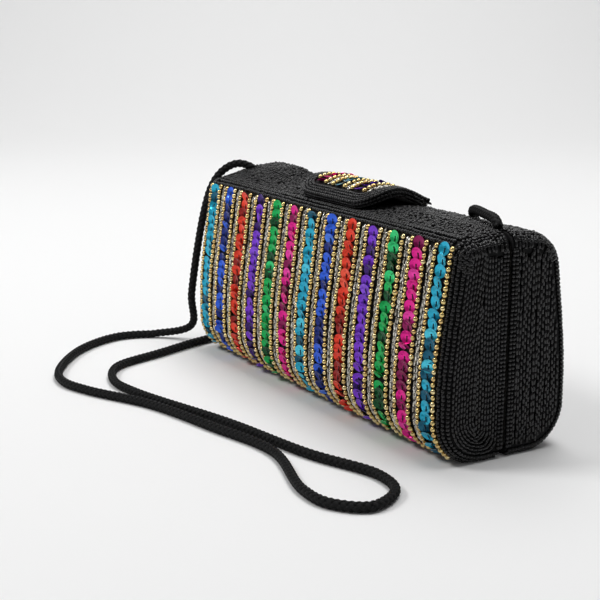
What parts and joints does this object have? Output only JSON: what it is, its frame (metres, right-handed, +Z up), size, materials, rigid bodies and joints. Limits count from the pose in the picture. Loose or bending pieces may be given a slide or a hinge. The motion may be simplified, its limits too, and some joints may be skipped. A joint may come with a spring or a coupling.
{
  "type": "clutch purse",
  "caption": "Beaded evening clutch: two half shells hinged at the base, striped sequin front, arched magnetic closure tab, and a long braided shoulder cord lying in a loop.",
  "frame": {"origin": "centre of the purse's flat base, on the surface it stands on", "axes": "+X along the purse's length to its right as seen from its striped front, -Y towards the striped front, +Z up"},
  "size_m": [0.2612, 0.1651, 0.0966],
  "materials": {
    "black_beadwork": "glossy black glass seed beads sewn close together on black cloth",
    "gold_and_silver_beads": "strings of round gold beads with one string of silver beads between them",
    "sequins_cyan": "overlapping cyan metallic foil sequins",
    "sequins_blue": "overlapping blue metallic foil sequins",
    "sequins_red": "overlapping red metallic foil sequins",
    "sequins_violet": "overlapping violet metallic foil sequins",
    "sequins_green": "overlapping green metallic foil sequins",
    "sequins_pink": "overlapping pink metallic foil sequins",
    "board": "plain dark pressed board, unseen inside",
    "satin": "black satin",
    "braid": "matte black braided cord",
    "steel": "plated steel",
    "magnet": "nickel plated magnet"
  },
  "bodies": {
    "back_half": {"back_cover": "black_beadwork", "back_shell": "board", "back_lining": "satin", "back_rim_frame": "steel", "slip_pocket": "satin", "back_hinge_leaf_left": "steel", "back_hinge_leaf_right": "steel", "hinge_pin_left": "steel", "hinge_pin_right": "steel", "strap_eyelet_left": "steel", "strap_eyelet_right": "steel", "strap_cord": "braid"},
    "front_half": {"front_cover": "black_beadwork", "front_shell": "board", "front_lining": "satin", "front_rim_frame": "steel", "catch_plate": "steel", "front_hinge_leaf_left": "steel", "front_hinge_leaf_right": "steel", "sequin_string_01_cyan": "sequins_cyan", "sequin_string_02_blue": "sequins_blue", "sequin_string_03_red": "sequins_red", "sequin_string_04_violet": "sequins_violet", "sequin_string_05_green": "sequins_green", "sequin_string_06_pink": "sequins_pink", "sequin_string_07_cyan": "sequins_cyan", "sequin_string_08_blue": "sequins_blue", "sequin_string_09_red": "sequins_red", "sequin_string_10_violet": "sequins_violet", "sequin_string_11_green": "sequins_green", "sequin_string_12_pink": "sequins_pink", "sequin_string_13_cyan": "sequins_cyan", "bead_band_01": "gold_and_silver_beads", "bead_band_02": "gold_and_silver_beads", "bead_band_03": "gold_and_silver_beads", "bead_band_04": "gold_and_silver_beads", "bead_band_05": "gold_and_silver_beads", "bead_band_06": "gold_and_silver_beads", "bead_band_07": "gold_and_silver_beads", "bead_band_08": "gold_and_silver_beads", "bead_band_09": "gold_and_silver_beads", "bead_band_10": "gold_and_silver_beads", "bead_band_11": "gold_and_silver_beads", "bead_band_12": "gold_and_silver_beads", "bead_band_13": "gold_and_silver_beads", "bead_band_14": "gold_and_silver_beads"},
    "closure_tab": {"tab_cover": "black_beadwork", "tab_core": "board", "tab_backing": "satin", "tab_magnet": "magnet", "tab_sequin_string_pink": "sequins_pink", "tab_sequin_string_cyan": "sequins_cyan", "tab_sequin_string_violet": "sequins_violet"}
  },
  "joints": [
    {"name": "front_open", "type": "hinge", "parent": "back_half", "child": "front_half", "pos_m": [0, 0, 0.0024], "axis": [1, 0, 0], "range_deg": [0, 35]},
    {"name": "tab_lift", "type": "hinge", "parent": "back_half", "child": "closure_tab", "pos_m": [0, 0.0166, 0.0859], "axis": [-1, 0, 0], "range_deg": [0, 95]}
  ]
}
